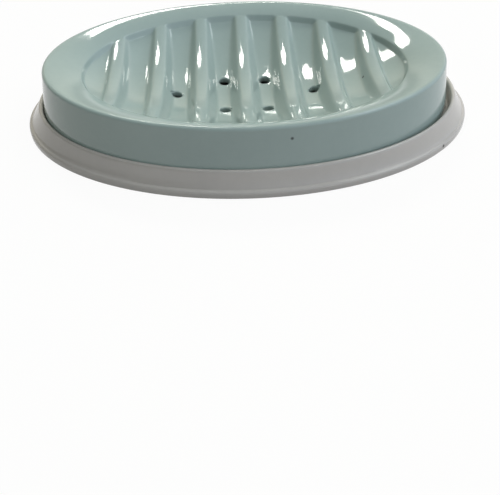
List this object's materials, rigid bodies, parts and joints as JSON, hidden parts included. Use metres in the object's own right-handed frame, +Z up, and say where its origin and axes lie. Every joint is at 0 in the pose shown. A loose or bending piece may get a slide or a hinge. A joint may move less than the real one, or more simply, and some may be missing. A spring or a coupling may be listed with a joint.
{
  "type": "soap dish",
  "caption": "Oval plastic soap dish: a glossy ribbed tray with drain holes drops into, and lifts off, a low base that catches the water.",
  "frame": {"origin": "centre of the base's footprint, on the surface that the dish stands on", "axes": "+X along the dish's length, +Y across it towards the back, +Z up"},
  "size_m": [0.1406, 0.0944, 0.02],
  "materials": {
    "tray_plastic": "polished moulded surface, pale aqua",
    "base_plastic": "satin moulded surface, off-white"
  },
  "bodies": {
    "base": {"drip_base": "base_plastic"},
    "tray": {"drain_tray": "tray_plastic"}
  },
  "joints": [
    {"name": "tray_lift", "type": "slide", "parent": "base", "child": "tray", "axis": [0, 0, 1], "range_m": [0, 0.06]}
  ]
}
